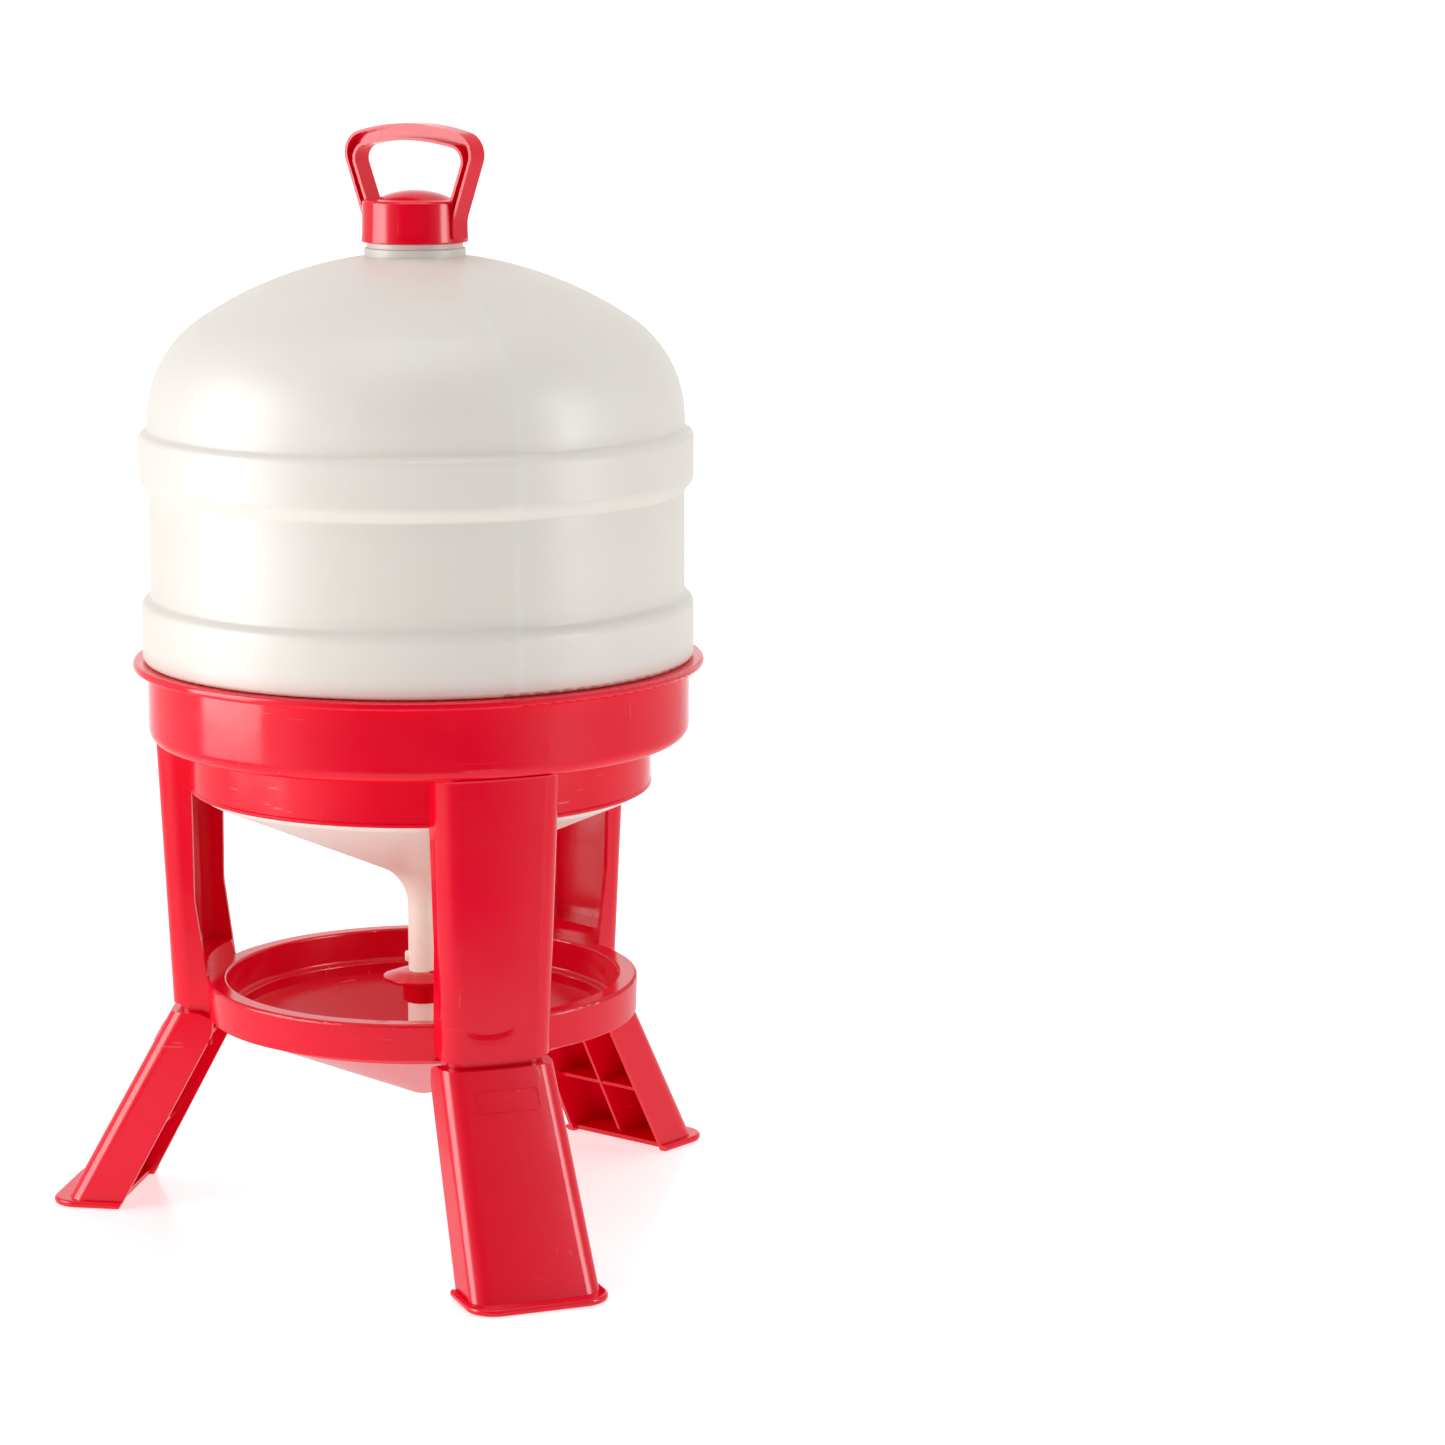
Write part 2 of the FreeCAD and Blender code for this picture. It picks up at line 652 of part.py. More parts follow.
def make_tank():
    outer = tank_outline()
    mouth = NECK_RADIUS - NECK_WALL
    bore = SPOUT_RADIUS - SPOUT_WALL
    neck_ring_corners = 3
    inner = offset_chain(outer, TANK_WALL)[:-neck_ring_corners]
    inner = [(r, z, corner if corner > SHARP_INSIDE else 0.0) for r, z, corner in inner]
    inner[0] = (bore, SPOUT_LOW, 0.0)
    inner[1] = (bore, inner[1][1], inner[1][2])
    inner[-2] = (mouth, inner[-2][1] - 2 * TANK_WALL, 0.0)
    inner[-1] = (mouth, NECK_TOP, 0.0)
    tank = turned(outer + inner[::-1])
    ridge = thread_ridge(NECK_RADIUS, 1, THREAD_START)
    tank = tank.fuse(ridge)
    lug = Part.makeCylinder(LUG_RADIUS, LUG_REACH, V(0, 0, LUG_Z), V(1, 0, 0))
    lug = lug.makeFillet(1.4, [e for e in lug.Edges if e.CenterOfMass.x > LUG_REACH - 0.1])
    lug = lug.cut(Part.makeCylinder(SPOUT_RADIUS - 1.0, 60, V(0, 0, SPOUT_LOW - 10)))
    tank = tank.fuse(about_axis(lug, LUG_ANGLE))
    return tank.removeSplitter()


# ---- cap ----
def handle_outline():
    """Outer line in the handle's own plane: arms leaning out to an arched grip."""
    low = CAP_LOW - 30.0
    corner_half = HANDLE_FOOT_HALF + HANDLE_ARM_LEAN * (HANDLE_CORNER_Z - HANDLE_BEND_Z)
    return [
        (-HANDLE_FOOT_HALF, low, 0.0),
        (-HANDLE_FOOT_HALF, HANDLE_BEND_Z, 25.0),
        (-corner_half, HANDLE_CORNER_Z, HANDLE_CORNER),
        (0.0, HANDLE_TOP + HANDLE_ARCH_RISE, HANDLE_ARCH),
        (corner_half, HANDLE_CORNER_Z, HANDLE_CORNER),
        (HANDLE_FOOT_HALF, HANDLE_BEND_Z, 25.0),
        (HANDLE_FOOT_HALF, low, 0.0),
    ]


def finger_outline():
    """Inner line of the handle, around the opening for the fingers."""
    lean = (FINGER_HALF_HIGH - FINGER_HALF_LOW) / (FINGER_Z_HIGH - FINGER_Z_LOW)
    low = FINGER_Z_LOW - 40.0
    corner_z = FINGER_TOP - FINGER_DROP
    corner_half = FINGER_HALF_LOW + lean * (corner_z - FINGER_Z_LOW)
    low_half = FINGER_HALF_LOW + lean * (low - FINGER_Z_LOW)
    return [
        (-low_half, low, 0.0),
        (-corner_half, corner_z, FINGER_CORNER),
        (0.0, FINGER_TOP + FINGER_ARCH_RISE, FINGER_ARCH),
        (corner_half, corner_z, FINGER_CORNER),
        (low_half, low, 0.0),
    ]


def handle_band(outer, inner, depth):
    """Flat loop between two handle lines, as deep as asked across the handle's plane."""
    whole = plate(outer, depth, side_view, V(0, 1, 0))
    return whole.cut(plate(inner, depth + 4.0, side_view, V(0, 1, 0)))


def make_handle():
    """I-section: an outer and an inner flange joined by a web in the middle plane."""
    outer = handle_outline()
    inner = finger_outline()
    outer_rim = handle_band(outer, offset_chain(outer, -FLANGE_LINE), HANDLE_DEPTH)
    inner_rim = handle_band(offset_chain(inner, FLANGE_LINE), inner, HANDLE_DEPTH)
    web = handle_band(offset_chain(outer, -1.0), offset_chain(inner, 1.0), WEB_THICK)
    handle = outer_rim.fuse([inner_rim, web])
    below = Part.makeCylinder(200, 100, V(0, 0, CAP_LOW + HANDLE_START - 100))
    return handle.cut(below)


def make_cap():
    shell = turned([
        (0.0, CAP_INNER_TOP, 0.0),
        (CAP_BORE, CAP_INNER_TOP, 0.0),
        (CAP_BORE, CAP_LOW, 0.0),
        (CAP_RADIUS_LOW, CAP_LOW, 0.8),
        (CAP_RADIUS_LOW - 0.5, CAP_LOW + 6, 12.0),
        (CAP_RADIUS_TOP, CAP_EDGE_TOP, 2.4),
        (CAP_DOME_RADIUS, CAP_EDGE_TOP + 0.2, 2.0),
        (CAP_DOME_RADIUS / 2.0, CAP_DOME_TOP, CAP_DOME_CURVE),
        (0.0, CAP_DOME_TOP, 0.0),
    ])
    handle = make_handle()
    cavity = Part.makeCylinder(CAP_RADIUS_TOP - 1.2, 200, V(0, 0, CAP_LOW - 100))
    handle = handle.cut(cavity.common(Part.makeBox(200, 200, CAP_EDGE_TOP - 2.0,
                                                   V(-100, -100, 0))))
    cap = shell.fuse(about_axis(handle, HANDLE_TURN))
    ridge = thread_ridge(CAP_BORE, -1, THREAD_START + PITCH / 2.0)
    cap = cap.fuse(ridge)
    return cap.removeSplitter()


# ---- valve ----
def make_stem():
    """Plug in the spout, smooth bearing for the collar, and a slotted cage below it."""
    shoulder = SPOUT_LOW - STEM_SEAL_THICK
    stem = ring(STEM_BORE, STEM_RADIUS, CAGE_TOP - 1.0, shoulder)
    stem = stem.fuse(ring(STEM_BORE, STEM_PLUG, shoulder - 2.0, STEM_PLUG_TOP))
    cage = ring(CAGE_RADIUS - CAGE_WALL, CAGE_RADIUS, CAGE_LOW, CAGE_TOP)
    roof = ring(STEM_BORE, CAGE_RADIUS - 0.5, CAGE_TOP - 2.4, CAGE_TOP)
    cage = cage.fuse(roof)
    slot_low = CAGE_LOW + 6.0
    for i in range(CAGE_SLOTS):
        slot = Part.makeBox(8, SLOT_WIDTH, SLOT_TOP - slot_low, V(5, -SLOT_WIDTH / 2, slot_low))
        cage = cage.cut(about_axis(slot, i * 360.0 / CAGE_SLOTS))
    stem = stem.fuse(cage)
    for level in ORING_LEVELS:
        groove = ring(STEM_RADIUS - 1.9, STEM_RADIUS + 1, level - 1.15, level + 1.15)
        stem = stem.cut(groove)
    port = Part.makeCylinder(PORT_RADIUS, 40, V(-20, 0, PORT_Z), V(1, 0, 0))
    stem = stem.cut(about_axis(port, STEM_PORT_ANGLE))
    return stem.removeSplitter()


def make_stem_seal():
    low = SPOUT_LOW - STEM_SEAL_THICK
    return ring(STEM_PLUG + 0.1, SPOUT_RADIUS, low + 0.05, SPOUT_LOW - 0.05)


def make_oring(level):
    return Part.makeTorus(COLLAR_BORE - 0.05 - ORING_WIRE, ORING_WIRE, V(0, 0, level))


def make_collar():
    """Domed hand disc on a hub that turns about the stem and covers or clears its ports."""
    collar = turned([
        (COLLAR_BORE, COLLAR_LOW, 0.0),
        (COLLAR_HUB - 0.5, COLLAR_LOW, 2.6),
        (COLLAR_HUB, DISC_EDGE_LOW + 1.0, 1.5),
        (DISC_RADIUS, DISC_EDGE_LOW, 0.8),
        (DISC_RADIUS, DISC_EDGE_TOP, 0.8),
        (DISC_RADIUS * 0.6, DISC_CENTRE_TOP - 0.5, 22.0),
        (DISC_HOLE + 0.9, DISC_CENTRE_TOP, 0.6),
        (DISC_HOLE, DISC_CENTRE_TOP - 0.4, 0.3),
        (DISC_HOLE, DISC_HOLE_LOW, 0.0),
        (COLLAR_BORE, DISC_HOLE_LOW, 0.0),
    ])
    port = Part.makeCylinder(PORT_RADIUS, 20, V(2, 0, PORT_Z), V(1, 0, 0))
    for angle in COLLAR_PORT_ANGLES:
        collar = collar.cut(about_axis(port, angle))
    pointer = plate([
        (DISC_HOLE + 0.9, -2.0, 0.0),
        (DISC_HOLE + 4.4, 0.0, 0.0),
        (DISC_HOLE + 0.9, 2.0, 0.0),
    ], 1.6, lambda a, b: V(a, b, DISC_CENTRE_TOP), V(0, 0, 1))
    return collar.fuse(about_axis(pointer, -74.0)).removeSplitter()


def build():
    shapes = {
        "stand": make_stand(),
        "tank": make_tank(),
        "screw_cap": make_cap(),
        "cap_seal": ring(SEAL_INNER, SEAL_OUTER, SEAL_LOW, SEAL_TOP),
        "valve_stem": make_stem(),
        "stem_seal": make_stem_seal(),
        "oring_upper": make_oring(ORING_LEVELS[0]),
        "oring_lower": make_oring(ORING_LEVELS[1]),
        "valve_collar": make_collar(),
    }
    foot = make_foot()
    for name, angle in zip(LEG_NAMES, LEG_ANGLES):
        shapes[name] = about_axis(foot, angle)
    return shapes


os.makedirs("parts", exist_ok=True)
to_footprint_centre = V(0, (FOOT_REACH - LIP_RADIUS) / 2.0, 0)
for name, shape in build().items():
    if len(shape.Solids) == 1:
        shape = shape.Solids[0]
    shape.translate(to_footprint_centre)
    shape.exportStep("parts/" + name + ".step")
    box = shape.BoundBox
    print(name, shape.ShapeType, len(shape.Solids), shape.isValid(),
          round(shape.Volume / 1000.0, 1), "cm3",
          [round(v, 1) for v in (box.XMin, box.XMax, box.YMin, box.YMax, box.ZMin, box.ZMax)])
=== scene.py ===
"""Looks of the poultry waterer: procedural plastics, studio floor, soft lights and the camera.

Everything is in metres in the CAD frame: floor at z = 0, front foot towards -Y. Every visible piece
is a CAD node; this script gives each its material and sets the studio round it.
"""
import json
import math

import bpy
from mathutils import Matrix, Vector


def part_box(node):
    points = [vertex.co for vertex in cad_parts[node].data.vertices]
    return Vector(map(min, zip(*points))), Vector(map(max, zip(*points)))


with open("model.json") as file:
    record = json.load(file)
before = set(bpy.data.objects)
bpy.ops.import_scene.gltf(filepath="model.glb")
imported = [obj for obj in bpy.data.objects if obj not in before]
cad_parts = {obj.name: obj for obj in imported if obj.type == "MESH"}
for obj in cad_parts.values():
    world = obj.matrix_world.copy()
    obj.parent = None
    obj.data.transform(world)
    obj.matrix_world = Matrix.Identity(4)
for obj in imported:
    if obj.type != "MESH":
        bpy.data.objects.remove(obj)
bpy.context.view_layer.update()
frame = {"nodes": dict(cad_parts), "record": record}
nodes = frame["nodes"]
scene = bpy.context.scene

tank_low, tank_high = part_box("tank")
AXIS_X = (tank_low.x + tank_high.x) / 2
AXIS_Y = (tank_low.y + tank_high.y) / 2

# ---- camera: where it stands from the bottle's axis, and how it is turned ----
CAMERA_DISTANCE = 2.819
CAMERA_HEIGHT = 0.844
CAMERA_AZIMUTH = -107.3
CAMERA_YAW = 0.0715
CAMERA_PITCH = 0.1797
CAMERA_ROLL = 0.0019
SENSOR_MM = 36.0
FOCAL_MM = 106.849

# ---- marks left by moulding and use, in metres ----
# Band of the smile-shaped dents where the tray joins the uprights; painted shade also darkens them.
SINK_Z = 0.160
SINK_OFFSET = -0.008
SINK_HALF = 0.017
SINK_SMILE = 0.0035
UPRIGHT_FACE = (0.1640, 0.1660)
CREASE_RADIUS = 0.106
CREASE_HALF = 0.006
CREASE_ABOVE = (0.55, 0.56)
PARTING_AZIMUTH = math.radians(-87.0)
PARTING_WIDTH = (0.0004, 0.0015)

# ---- where the bottle's colour, painted light and painted glow change, in metres above the floor ----
FUNNEL_TINT_AND_LIGHT = (0.28, 0.335)
RING_LIP_Z = 0.382
RING_LIP_HALF = 0.007
# Heights over which the bottle has a painted glow, strongest low down.
PAINTED_GLOW_HEIGHTS = (0.20, 0.31)

# ---- studio: a glowing white floor, and how far its whiteness is mirrored, in metres ----
FLOOR_HALF = 90.0
FLOOR_Z = -0.0004
FLOOR_GLOW = 0.60
NEAR_FLOOR_HALF = 0.9
NEAR_FLOOR_Z = -0.0015
NEAR_FLOOR_GLOW = 0.7
WORLD_STRENGTH = 2.0

# Soft lights: name, degrees to the right of the camera, distance from the bottle's axis, height,
# height aimed at, width, height of the panel, radiance, and the rays it is for.
LIGHTS = (
    ("left", -72, 2.4, 0.9, 0.40, 1.0, 1.8, 1.75, "both"),
    ("right", 72, 2.4, 1.0, 0.40, 1.0, 1.8, 1.2, "both"),
    ("top", 0, 0.3, 2.6, 0.40, 1.6, 1.6, 1.9, "both"),
    ("left_gloss", -84, 2.2, 0.85, 0.40, 1.4, 1.9, 5.2, "gloss"),
    ("right_gloss", 66, 2.2, 0.9, 0.40, 0.6, 1.6, 6.0, "gloss"),
    ("low_left", -66, 1.3, 0.40, 0.17, 0.8, 0.6, 2.4, "diffuse"),
    ("low_back", 150, 1.3, 0.44, 0.17, 0.8, 0.5, 2.6, "diffuse"),
)


class Nodes:
    """Short way to build a node tree: add nodes, link them, and set values on sockets."""

    def __init__(self, owner):
        self.tree = owner.node_tree
        self.tree.nodes.clear()

    def add(self, kind, **inputs):
        """Add a node, its inputs given by name, as Base_Color, or by number, as i0."""
        node = self.tree.nodes.new("ShaderNode" + kind)
        for key, value in inputs.items():
            socket = node.inputs[int(key[1:])] if key[1:].isdigit() else node.inputs[key.replace("_", " ")]
            if isinstance(value, bpy.types.NodeSocket):
                self.tree.links.new(value, socket)
            else:
                socket.default_value = value
        return node

    def math(self, operation, a, b=0.0, c=0.0):
        node = self.add("Math", i0=a, i1=b, i2=c)
        node.operation = operation
        return node.outputs[0]

    def ramp(self, factor, *stops):
        node = self.add("ValToRGB", Fac=factor)
        elements = node.color_ramp.elements
        while len(elements) < len(stops):
            elements.new(0.5)
        for element, (place, value) in zip(elements, stops):
            element.position = place
            element.color = value if len(value) == 4 else (*value, 1.0)
        return node.outputs[0]

    def grey(self, factor, *stops):
        return self.ramp(factor, *[(p, (v, v, v, 1.0)) for p, v in stops])

    def mix(self, factor, a, b):
        return self.add("MixRGB", Fac=factor, Color1=a, Color2=b).outputs[0]

    def noise(self, vector, scale, detail=2.0, roughness=0.5):
        return self.add("TexNoise", Vector=vector, Scale=scale, Detail=detail, Roughness=roughness).outputs[0]

    def stretched(self, vector, x, y, z, turn=(0.0, 0.0, 0.0)):
        return self.add("Mapping", Vector=vector, Scale=(x, y, z), Rotation=turn).outputs[0]

    def bump(self, height, strength, distance, under=None):
        node = self.add("Bump", Strength=strength, Distance=distance, Height=height)
        if under is not None:
            self.tree.links.new(under, node.inputs["Normal"])
        return node.outputs[0]

    def polar(self, vector):
        """Distance from the bottle's axis, azimuth in radians, and height."""
        split = self.add("SeparateXYZ", Vector=vector)
        x = self.math("SUBTRACT", split.outputs[0], AXIS_X)
        y = self.math("SUBTRACT", split.outputs[1], AXIS_Y)
        squares = self.math("ADD", self.math("MULTIPLY", x, x), self.math("MULTIPLY", y, y))
        return self.math("SQRT", squares), self.math("ARCTAN2", y, x), split.outputs[2]


def new_material(name):
    material = bpy.data.materials.new(name)
    material.use_nodes = True
    return material


def scratches(n, where):
    """Thin straight scuffs in two directions, only where patches of wear are: 0 none, 1 full."""
    patches = n.grey(n.noise(where, 11.0, 2.0), (0.52, 0.0), (0.66, 1.0))
    first = n.noise(n.stretched(where, 35.0, 35.0, 420.0, (0.5, 0.2, 0.0)), 1.0, 1.0)
    second = n.noise(n.stretched(where, 300.0, 300.0, 22.0, (0.1, 0.35, 0.3)), 1.0, 1.0)
    first_lines = n.grey(first, (0.71, 0.0), (0.75, 1.0))
    second_lines = n.grey(second, (0.72, 0.0), (0.76, 1.0))
    return n.math("MULTIPLY", n.math("MAXIMUM", first_lines, second_lines), patches)


def sink_dents_and_shade(n, where):
    """Shallow smile-shaped hollows on the uprights where the tray joins them, also where painted shade
    darkens them: 0 none, 1 full.
    """
    radius, azimuth, height = n.polar(where)
    third = 2.0 * math.pi / 3.0
    turned = n.math("ADD", azimuth, math.pi / 2.0)
    nearest = n.math("WRAP", turned, third / 2.0, -third / 2.0)
    across = n.math("SUBTRACT", n.math("MULTIPLY", nearest, radius), SINK_OFFSET)
    share = n.math("DIVIDE", across, SINK_HALF)
    lift = n.math("MULTIPLY", n.math("MULTIPLY", share, share), SINK_SMILE)
    level = n.math("SUBTRACT", n.math("SUBTRACT", height, SINK_Z), lift)
    band = n.grey(n.math("ABSOLUTE", level), (0.0012, 1.0), (0.0046, 0.0))
    ends = n.grey(n.math("ABSOLUTE", share), (0.55, 1.0), (1.0, 0.0))
    outside = n.grey(radius, (UPRIGHT_FACE[0], 0.0), (UPRIGHT_FACE[1], 1.0))
    return n.math("MULTIPLY", n.math("MULTIPLY", band, ends), outside)


def red_plastic(name, marked):
    """Glossy red moulding with flow clouds, specks and scuffs; marked adds the uprights' shallow smile-shaped
    dents with painted shade in them.
    """
    material = new_material(name)
    n = Nodes(material)
    where = n.add("TexCoord").outputs["Object"]
    cloud = n.grey(n.noise(where, 9.0, 3.0), (0.3, 0.0), (0.7, 1.0))
    colour = n.mix(cloud, (0.845, 0.0004, 0.020, 1.0), (0.895, 0.0010, 0.027, 1.0))
    flow = n.noise(n.stretched(where, 14.0, 14.0, 5.0), 1.0, 3.0)
    colour = n.mix(n.grey(flow, (0.55, 0.0), (0.75, 0.3)), colour, (0.91, 0.004, 0.032, 1.0))
    worn = scratches(n, where)
    colour = n.mix(n.math("MULTIPLY", worn, 0.35), colour, (0.9, 0.12, 0.14, 1.0))
    specks = n.grey(n.noise(where, 420.0, 2.0), (0.68, 0.0), (0.74, 1.0))
    colour = n.mix(n.math("MULTIPLY", specks, 0.25), colour, (0.7, 0.0, 0.02, 1.0))
    base_rough = n.grey(n.noise(where, 30.0, 4.0), (0.3, 0.11), (0.75, 0.19))
    rough = n.math("ADD", base_rough, n.math("MULTIPLY", worn, 0.25))
    if marked:
        # Painted shade: the colour is darkened in the smile-shaped dents where the tray joins the uprights;
        # the same mask also dents the surface.
        dent_and_shade = sink_dents_and_shade(n, where)
        colour = n.mix(n.math("MULTIPLY", dent_and_shade, 0.45), colour, (0.72, 0.0, 0.012, 1.0))
    ripple = n.bump(n.noise(where, 24.0, 2.0), 0.12, 0.0012)
    grain = n.bump(n.noise(where, 900.0, 2.0), 0.05, 0.0001, ripple)
    relief = n.bump(worn, 0.25, -0.00008, grain)
    if marked:
        relief = n.bump(dent_and_shade, 0.8, -0.0009, relief)
    shader = n.add("BsdfPrincipled", Base_Color=colour, Roughness=rough, Normal=relief)
    shader.inputs["IOR"].default_value = 1.5
    shader.inputs["Specular IOR Level"].default_value = 0.5
    n.add("OutputMaterial", Surface=shader.outputs[0])
    return material


def clear_plastic():
    """Milky bottle: warmer and lighter low down, partly painted light, with painted pink light at the ring's
    lip, a painted glow low down, its parting line and the dome's crease.
    """
    material = new_material("clear_plastic")
    n = Nodes(material)
    where = n.add("TexCoord").outputs["Object"]
    radius, azimuth, height = n.polar(where)
    cloud = n.grey(n.noise(where, 6.0, 4.0, 0.6), (0.3, 0.0), (0.7, 1.0))
    colour = n.mix(cloud, (0.955, 0.905, 0.845, 1.0), (0.985, 0.95, 0.90, 1.0))
    # Warmer tint low down, partly the funnel's own tone and partly painted light: made lighter to stand in
    # for light the plastic carries down.
    low = n.grey(height, (FUNNEL_TINT_AND_LIGHT[0], 1.0), (FUNNEL_TINT_AND_LIGHT[1], 0.0))
    colour = n.mix(n.math("MULTIPLY", low, 0.7), colour, (1.0, 0.92, 0.86, 1.0))
    # Painted light: a pink band where the bottle meets the red ring stands in for the ring's red light
    # falling on it.
    lip = n.grey(n.math("ABSOLUTE", n.math("SUBTRACT", height, RING_LIP_Z)), (0.0, 1.0), (RING_LIP_HALF, 0.0))
    colour = n.mix(n.math("MULTIPLY", lip, 0.35), colour, (0.97, 0.60, 0.48, 1.0))
    off_seam = n.math("ABSOLUTE", n.math("SINE", n.math("SUBTRACT", azimuth, PARTING_AZIMUTH)))
    seam_distance = n.math("MULTIPLY", off_seam, radius)
    seam = n.grey(seam_distance, (PARTING_WIDTH[0], 1.0), (PARTING_WIDTH[1], 0.0))
    crease_distance = n.math("ABSOLUTE", n.math("SUBTRACT", radius, CREASE_RADIUS))
    crease = n.grey(crease_distance, (0.0, 1.0), (CREASE_HALF, 0.0))
    above = n.grey(height, (CREASE_ABOVE[0], 0.0), (CREASE_ABOVE[1], 1.0))
    crease = n.math("MULTIPLY", crease, above)
    colour = n.mix(n.math("MULTIPLY", seam, 0.5), colour, (1.0, 0.99, 0.97, 1.0))
    rough = n.grey(n.noise(where, 60.0, 3.0), (0.3, 0.30), (0.7, 0.42))
    ripple = n.bump(n.noise(where, 14.0, 3.0), 0.16, 0.003)
    grain = n.bump(n.noise(where, 500.0, 2.0), 0.06, 0.0002, ripple)
    lines = n.bump(n.math("ADD", seam, n.math("MULTIPLY", crease, 1.6)), 0.35, 0.0005, grain)
    shader = n.add("BsdfPrincipled", Base_Color=colour, Roughness=rough, Normal=lines)
    shader.inputs["IOR"].default_value = 1.5
    glow = n.add("BsdfTranslucent", Color=colour, Normal=lines)
    # Painted glow: emission low on the bottle stands in for light the translucent plastic carries down.
    painted_glow = n.ramp(height, (PAINTED_GLOW_HEIGHTS[0], (0.13, 0.15, 0.12)), (PAINTED_GLOW_HEIGHTS[1], (0.0, 0.0, 0.0)))
    shader.inputs["Emission Strength"].default_value = 1.0
    n.tree.links.new(painted_glow, shader.inputs["Emission Color"])
    mix = n.add("MixShader", i0=0.2, i1=shader.outputs[0], i2=glow.outputs[0])
    n.add("OutputMaterial", Surface=mix.outputs[0])
    return material


def white_plastic():
    """Valve stem: off-white, slightly translucent, with a painted glow standing in for the light the bottle
    carries down.
    """
    material = new_material("white_plastic")
    n = Nodes(material)
    where = n.add("TexCoord").outputs["Object"]
    colour = n.mix(n.noise(where, 60.0), (0.93, 0.84, 0.79, 1.0), (0.97, 0.89, 0.85, 1.0))
    rough = n.grey(n.noise(where, 120.0, 3.0), (0.3, 0.34), (0.7, 0.46))
    grain = n.bump(n.noise(where, 700.0, 2.0), 0.08, 0.0002)
    shader = n.add("BsdfPrincipled", Base_Color=colour, Roughness=rough, Normal=grain)
    # Painted glow: emission standing in for light the bottle carries down to the stem.
    shader.inputs["Emission Color"].default_value = (0.9, 1.0, 0.85, 1.0)
    shader.inputs["Emission Strength"].default_value = 0.2
    glow = n.add("BsdfTranslucent", Color=colour, Normal=grain)
    mix = n.add("MixShader", i0=0.15, i1=shader.outputs[0], i2=glow.outputs[0])
    n.add("OutputMaterial", Surface=mix.outputs[0])
    return material


def seal_rubber():
    """Black rubber of the seals, matt and slightly grainy."""
    material = new_material("seal_rubber")
    n = Nodes(material)
    where = n.add("TexCoord").outputs["Object"]
    colour = n.mix(n.noise(where, 90.0), (0.02, 0.02, 0.022, 1.0), (0.045, 0.045, 0.05, 1.0))
    rough = n.grey(n.noise(where, 200.0, 3.0), (0.3, 0.5), (0.7, 0.65))
    grain = n.bump(n.noise(where, 1200.0, 2.0), 0.15, 0.0002)
    shader = n.add("BsdfPrincipled", Base_Color=colour, Roughness=rough, Normal=grain)
    n.add("OutputMaterial", Surface=shader.outputs[0])
    return material


def square(name, half, level):
    """Flat square about the origin."""
    corners = [(-half, -half, level), (half, -half, level), (half, half, level), (-half, half, level)]
    mesh = bpy.data.meshes.new(name)
    mesh.from_pydata(corners, [], [(0, 1, 2, 3)])
    made = bpy.data.objects.new(name, mesh)
    scene.collection.objects.link(made)
    return made


def dress():
    """Give every CAD node the material of its slot; the stand's also has the dents on its uprights, with
    painted shade in them.
    """
    made = {
        "red_plastic": red_plastic("red_plastic", False),
        "clear_plastic": clear_plastic(),
        "white_plastic": white_plastic(),
        "seal_rubber": seal_rubber(),
    }
    for part in frame["record"]["subparts"]:
        mesh = nodes[part["node"]].data
        mesh.materials.clear()
        mesh.materials.append(made[part["material_slot"]])
    stand = nodes["stand"].data
    stand.materials.clear()
    stand.materials.append(red_plastic("red_plastic_stand", True))


def make_floor():
    """Wide white floor. The gloss on the object doesn't mirror it: make_near_floor stands for that."""
    floor = square("floor", FLOOR_HALF, FLOOR_Z)
    material = new_material("floor_white")
    n = Nodes(material)
    shader = n.add("BsdfPrincipled")
    shader.inputs["Base Color"].default_value = (0.70, 0.70, 0.70, 1.0)
    shader.inputs["Roughness"].default_value = 0.22
    shader.inputs["Emission Color"].default_value = (1.0, 1.0, 1.0, 1.0)
    shader.inputs["Emission Strength"].default_value = FLOOR_GLOW
    n.add("OutputMaterial", Surface=shader.outputs[0])
    material.cycles.emission_sampling = "NONE"
    floor.data.materials.append(material)
    floor.visible_glossy = False


def make_near_floor():
    """White floor close by, only as the gloss mirrors it: further off the floor is in the dark."""
    near = square("near_floor", NEAR_FLOOR_HALF, 0.0)
    near.location = (AXIS_X, AXIS_Y, NEAR_FLOOR_Z)
    material = new_material("floor_mirrored")
    n = Nodes(material)
    reach = n.add("VectorMath", i0=n.add("TexCoord").outputs["Object"])
    reach.operation = "LENGTH"
    share = n.math("DIVIDE", reach.outputs["Value"], NEAR_FLOOR_HALF)
    white = n.add("Emission", Strength=NEAR_FLOOR_GLOW)
    clear = n.add("BsdfTransparent")
    fade = n.grey(share, (0.76, 1.0), (0.95, 0.0))
    mix = n.add("MixShader", i0=fade, i1=clear.outputs[0], i2=white.outputs[0])
    n.add("OutputMaterial", Surface=mix.outputs[0])
    material.cycles.emission_sampling = "NONE"
    near.data.materials.append(material)
    near.visible_camera = False
    near.visible_diffuse = False
    near.visible_transmission = False
    near.visible_shadow = False


def area_light(name, place, target, width, height, radiance, rays):
    """Rectangular panel of one radiance, for all rays or only for the gloss or the diffuse light."""
    data = bpy.data.lights.new(name, "AREA")
    data.shape = "RECTANGLE"
    data.size = width
    data.size_y = height
    data.energy = radiance * math.pi * width * height
    light = bpy.data.objects.new(name, data)
    light.location = place
    light.rotation_mode = "QUATERNION"
    light.rotation_quaternion = (Vector(target) - Vector(place)).to_track_quat("-Z", "Y")
    light.visible_camera = False
    light.visible_diffuse = rays != "gloss"
    light.visible_glossy = rays != "diffuse"
    scene.collection.objects.link(light)


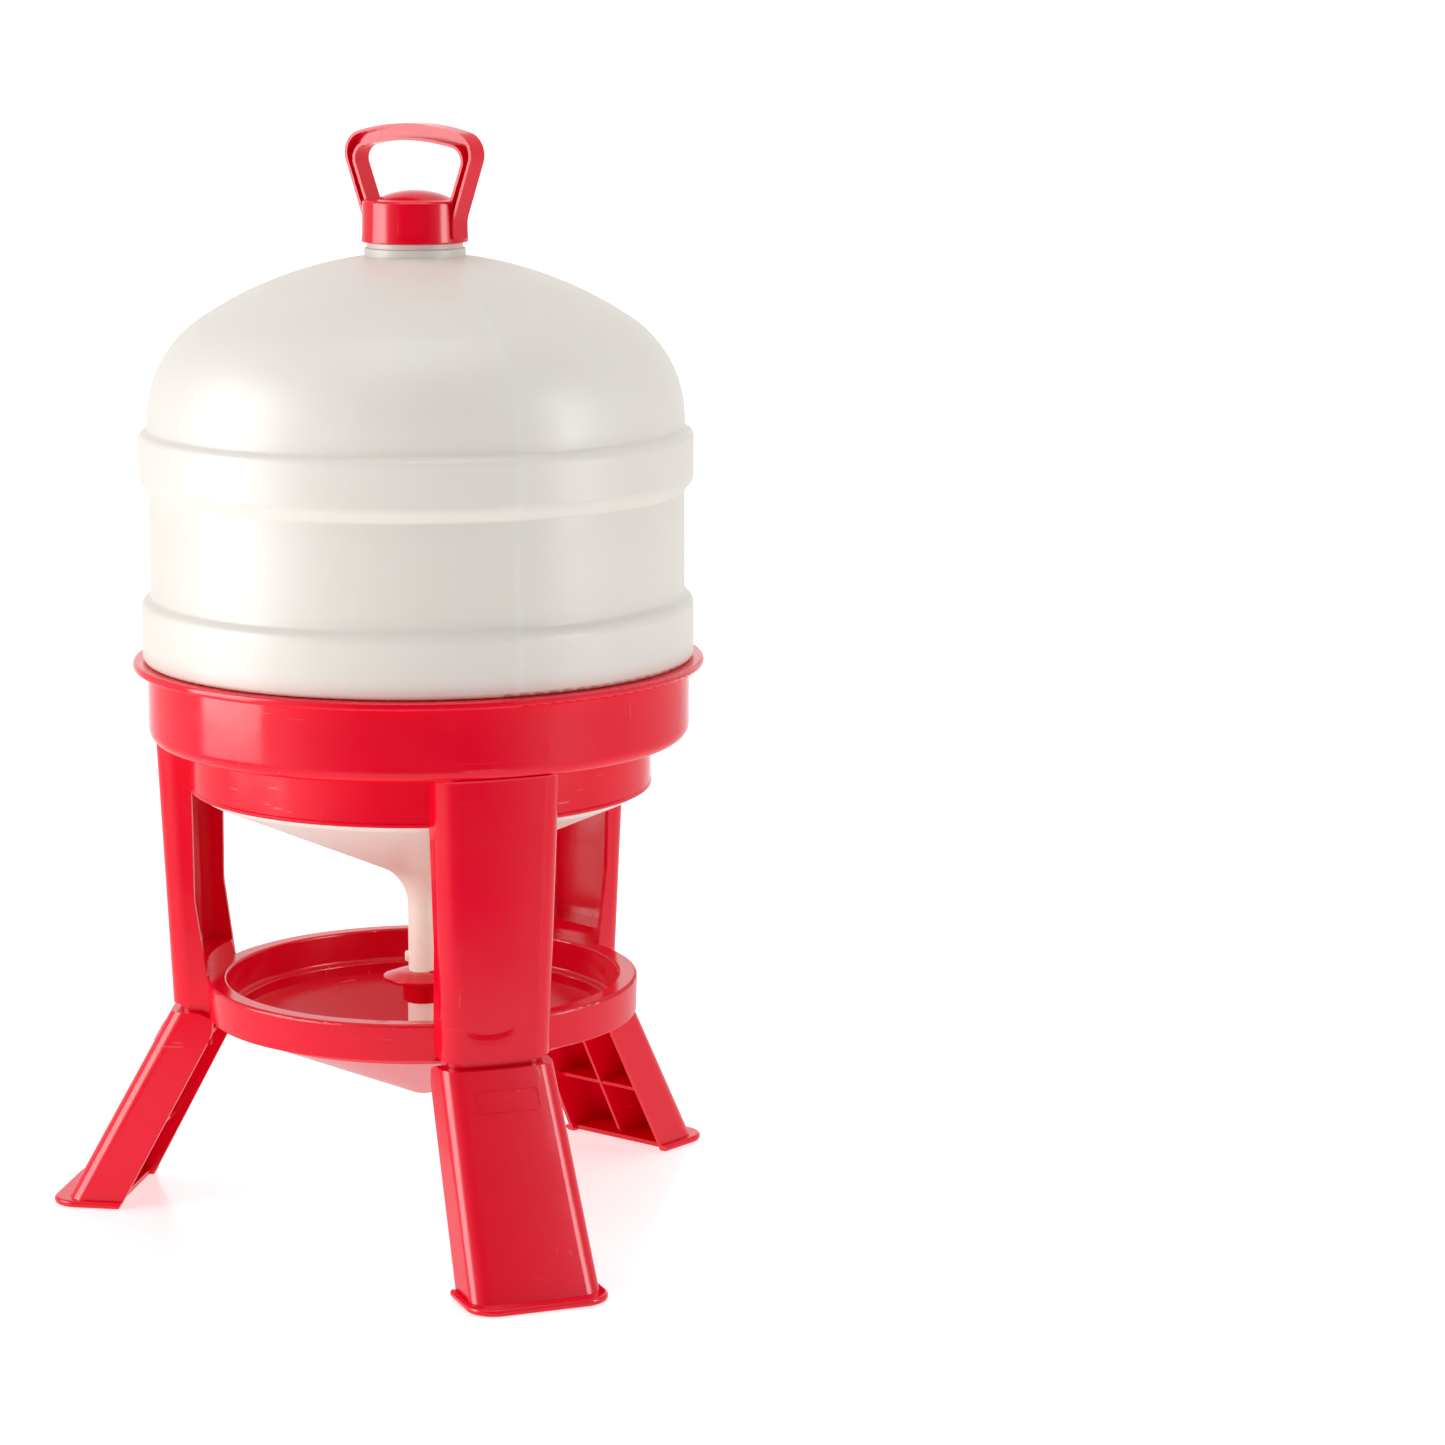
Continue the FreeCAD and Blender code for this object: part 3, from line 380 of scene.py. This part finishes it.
def around(azimuth_from_camera, distance, height):
    """Point at an angle to the right of the camera, seen from the bottle's axis."""
    angle = math.radians(CAMERA_AZIMUTH + azimuth_from_camera)
    return (AXIS_X + distance * math.cos(angle), AXIS_Y + distance * math.sin(angle), height)


def make_world():
    """White light all round, weaker where the camera stands, and what the gloss mirrors of it."""
    world = bpy.data.worlds.new("studio")
    scene.world = world
    world.use_nodes = True
    n = Nodes(world)
    direction = n.add("TexCoord").outputs["Generated"]
    heading = math.radians(CAMERA_AZIMUTH)
    to_front = n.add("VectorMath", i0=direction, i1=(math.cos(heading), math.sin(heading), 0.0))
    to_front.operation = "DOT_PRODUCT"
    share = n.math("MULTIPLY_ADD", to_front.outputs["Value"], 0.5, 0.5)
    mirrored = n.grey(
        share,
        (0.0, 0.55), (0.10, 0.30), (0.5, 0.24), (0.75, 0.34), (0.88, 0.10), (0.94, 0.004), (1.0, 0.0),
    )
    lit = n.grey(share, (0.0, 0.40), (0.3, 0.37), (0.5, 0.33), (0.8, 0.16), (1.0, 0.06))
    rays = n.add("LightPath")
    seen = n.mix(rays.outputs["Is Glossy Ray"], lit, mirrored)
    seen = n.mix(rays.outputs["Is Camera Ray"], seen, (0.5, 0.5, 0.5, 1.0))
    background = n.add("Background", Color=seen, Strength=WORLD_STRENGTH)
    n.add("OutputWorld", Surface=background.outputs[0])


def make_lights():
    for name, azimuth, distance, level, aim_level, width, height, radiance, rays in LIGHTS:
        place = around(azimuth, distance, level)
        area_light(name, place, (AXIS_X, AXIS_Y, aim_level), width, height, radiance, rays)


def make_camera():
    """Camera at a set distance and height, turned by yaw, pitch and roll from the level look inwards."""
    heading = math.radians(CAMERA_AZIMUTH + 180.0) - CAMERA_YAW
    level = Vector((math.cos(heading), math.sin(heading), 0.0))
    forward = level * math.cos(CAMERA_PITCH) - Vector((0, 0, math.sin(CAMERA_PITCH)))
    flat_right = Vector((math.sin(heading), -math.cos(heading), 0.0))
    flat_up = flat_right.cross(forward)
    right = flat_right * math.cos(CAMERA_ROLL) + flat_up * math.sin(CAMERA_ROLL)
    up = flat_up * math.cos(CAMERA_ROLL) - flat_right * math.sin(CAMERA_ROLL)
    turn = Matrix((right, up, -forward)).transposed()
    data = bpy.data.cameras.new("camera")
    data.lens = FOCAL_MM
    data.sensor_width = SENSOR_MM
    data.clip_end = 4.0 * FLOOR_HALF
    camera = bpy.data.objects.new("camera", data)
    camera.matrix_world = Matrix.Translation(around(0, CAMERA_DISTANCE, CAMERA_HEIGHT)) @ turn.to_4x4()
    scene.collection.objects.link(camera)
    scene.camera = camera


dress()
make_floor()
make_near_floor()
make_world()
make_lights()
make_camera()
scene.view_settings.view_transform = "Standard"
